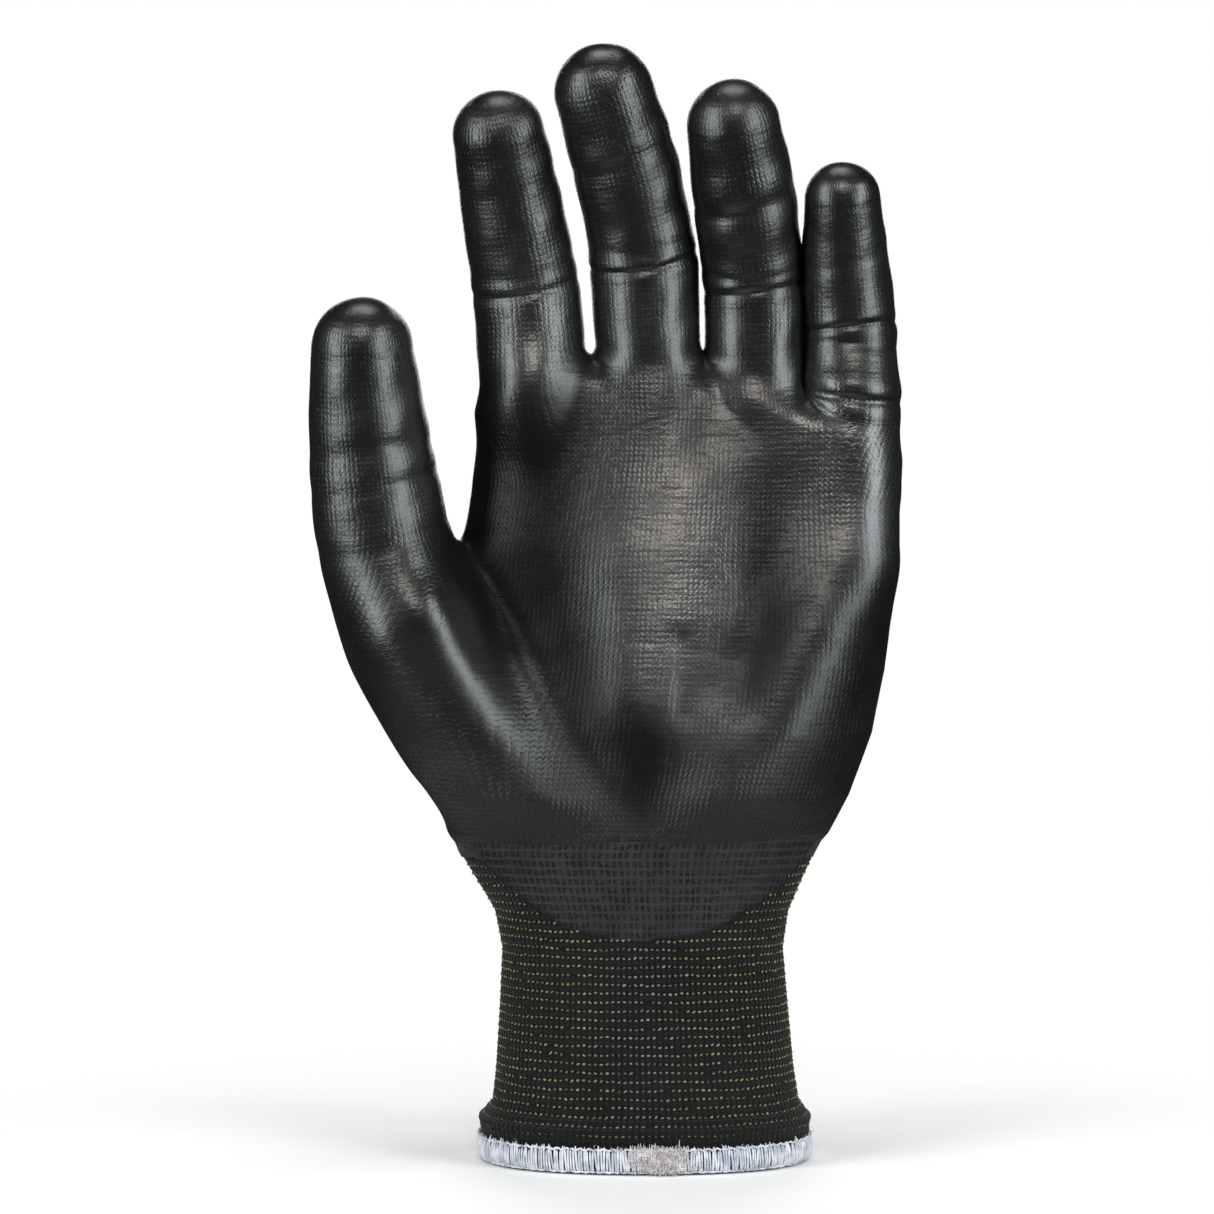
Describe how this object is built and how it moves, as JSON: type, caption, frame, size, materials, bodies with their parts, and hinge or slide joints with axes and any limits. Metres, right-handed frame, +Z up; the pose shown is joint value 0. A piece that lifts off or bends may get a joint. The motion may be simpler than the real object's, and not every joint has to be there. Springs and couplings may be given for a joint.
{
  "type": "cut resistant glove",
  "caption": "Left-hand seamless-knit work glove with a thin dark coating on the palm and fingers, and a ribbed elastic cuff with a pale overlocked edge.",
  "frame": {"origin": "centre of the wrist opening, on the hem's lower face", "axes": "+Z up through the fingers, -Y out of the palm, -X towards the thumb"},
  "size_m": [0.1291, 0.0604, 0.2441],
  "materials": {
    "liner_knit": "matte",
    "cuff_knit": "matte",
    "coating": "satin",
    "hem_thread": "matte",
    "elastic_yarn": "matte"
  },
  "bodies": {
    "cuff": {"ribbed_cuff": "cuff_knit", "overlock_hem": "hem_thread", "overlock_end_tack": "hem_thread", "elastic_inlay_yarns": "elastic_yarn"},
    "palm": {"wrist_band": "liner_knit", "palm_liner": "liner_knit", "palm_coating": "coating"},
    "knuckles": {"knuckle_band": "liner_knit", "knuckle_band_coating": "coating", "knuckle_liner": "liner_knit", "knuckle_coating": "coating"},
    "index_middle": {"index_middle_band": "liner_knit", "index_middle_band_coating": "coating", "index_middle_liner": "liner_knit", "index_middle_coating": "coating"},
    "index_tip": {"index_tip_band": "liner_knit", "index_tip_band_coating": "coating", "index_tip_liner": "liner_knit", "index_tip_coating": "coating"},
    "middle_middle": {"middle_middle_band": "liner_knit", "middle_middle_band_coating": "coating", "middle_middle_liner": "liner_knit", "middle_middle_coating": "coating"},
    "middle_tip": {"middle_tip_band": "liner_knit", "middle_tip_band_coating": "coating", "middle_tip_liner": "liner_knit", "middle_tip_coating": "coating"},
    "ring_middle": {"ring_middle_band": "liner_knit", "ring_middle_band_coating": "coating", "ring_middle_liner": "liner_knit", "ring_middle_coating": "coating"},
    "ring_tip": {"ring_tip_band": "liner_knit", "ring_tip_band_coating": "coating", "ring_tip_liner": "liner_knit", "ring_tip_coating": "coating"},
    "little_middle": {"little_middle_band": "liner_knit", "little_middle_band_coating": "coating", "little_middle_liner": "liner_knit", "little_middle_coating": "coating"},
    "little_tip": {"little_tip_band": "liner_knit", "little_tip_band_coating": "coating", "little_tip_liner": "liner_knit", "little_tip_coating": "coating"},
    "thumb_base": {"thumb_base_band": "liner_knit", "thumb_base_band_coating": "coating", "thumb_base_liner": "liner_knit", "thumb_base_coating": "coating"},
    "thumb_tip": {"thumb_tip_band": "liner_knit", "thumb_tip_band_coating": "coating", "thumb_tip_liner": "liner_knit", "thumb_tip_coating": "coating"}
  },
  "joints": [
    {"name": "wrist_flex", "type": "hinge", "parent": "cuff", "child": "palm", "pos_m": [-0.0002, 0.0003, 0.054], "axis": [1, 0, 0], "range_deg": [-30, 35], "stiffness_Nm_per_rad": 0.9, "deforming": ["wrist_band"]},
    {"name": "knuckle_flex", "type": "hinge", "parent": "palm", "child": "knuckles", "pos_m": [0.0092, 0.0003, 0.157], "axis": [1, 0, 0], "range_deg": [-12, 40], "stiffness_Nm_per_rad": 0.12, "deforming": ["knuckle_band", "knuckle_band_coating"]},
    {"name": "index_middle_flex", "type": "hinge", "parent": "knuckles", "child": "index_middle", "pos_m": [-0.02567, -0.00329, 0.19148], "axis": [0.9848, 0, 0.1736], "range_deg": [-16, 48], "stiffness_Nm_per_rad": 0.02, "deforming": ["index_middle_band", "index_middle_band_coating"]},
    {"name": "index_tip_flex", "type": "hinge", "parent": "index_middle", "child": "index_tip", "pos_m": [-0.02953, -0.01137, 0.21337], "axis": [0.9816, 0, 0.1908], "range_deg": [-12, 34], "stiffness_Nm_per_rad": 0.01, "deforming": ["index_tip_band", "index_tip_band_coating"]},
    {"name": "middle_middle_flex", "type": "hinge", "parent": "knuckles", "child": "middle_middle", "pos_m": [0.00025, -0.00378, 0.19708], "axis": [0.9816, 0, 0.1908], "range_deg": [-16, 48], "stiffness_Nm_per_rad": 0.02, "deforming": ["middle_middle_band", "middle_middle_band_coating"]},
    {"name": "middle_tip_flex", "type": "hinge", "parent": "middle_middle", "child": "middle_tip", "pos_m": [-0.00407, -0.012, 0.21926], "axis": [0.9563, 0, 0.2924], "range_deg": [-12, 34], "stiffness_Nm_per_rad": 0.01, "deforming": ["middle_tip_band", "middle_tip_band_coating"]},
    {"name": "ring_middle_flex", "type": "hinge", "parent": "knuckles", "child": "ring_middle", "pos_m": [0.02449, -0.00324, 0.19096], "axis": [0.9945, 0, 0.1045], "range_deg": [-16, 48], "stiffness_Nm_per_rad": 0.02, "deforming": ["ring_middle_band", "ring_middle_band_coating"]},
    {"name": "ring_tip_flex", "type": "hinge", "parent": "ring_middle", "child": "ring_tip", "pos_m": [0.02249, -0.01093, 0.20991], "axis": [0.9877, 0, 0.1564], "range_deg": [-12, 34], "stiffness_Nm_per_rad": 0.01, "deforming": ["ring_tip_band", "ring_tip_band_coating"]},
    {"name": "little_middle_flex", "type": "hinge", "parent": "knuckles", "child": "little_middle", "pos_m": [0.04557, -0.00264, 0.18216], "axis": [0.9976, 0, 0.0698], "range_deg": [-16, 48], "stiffness_Nm_per_rad": 0.02, "deforming": ["little_middle_band", "little_middle_band_coating"]},
    {"name": "little_tip_flex", "type": "hinge", "parent": "little_middle", "child": "little_tip", "pos_m": [0.04447, -0.00775, 0.19786], "axis": [0.9986, 0, 0.0523], "range_deg": [-12, 34], "stiffness_Nm_per_rad": 0.01, "deforming": ["little_tip_band", "little_tip_band_coating"]},
    {"name": "thumb_base_flex", "type": "hinge", "parent": "palm", "child": "thumb_base", "pos_m": [-0.05677, -0.01175, 0.12999], "axis": [0.7597, 0.5427, 0.3582], "range_deg": [-10, 46], "stiffness_Nm_per_rad": 0.05, "deforming": ["thumb_base_band", "thumb_base_band_coating"]},
    {"name": "thumb_tip_flex", "type": "hinge", "parent": "thumb_base", "child": "thumb_tip", "pos_m": [-0.06057, -0.01676, 0.15405], "axis": [0.8219, 0.5359, 0.1929], "range_deg": [-12, 56], "stiffness_Nm_per_rad": 0.02, "deforming": ["thumb_tip_band", "thumb_tip_band_coating"]}
  ]
}
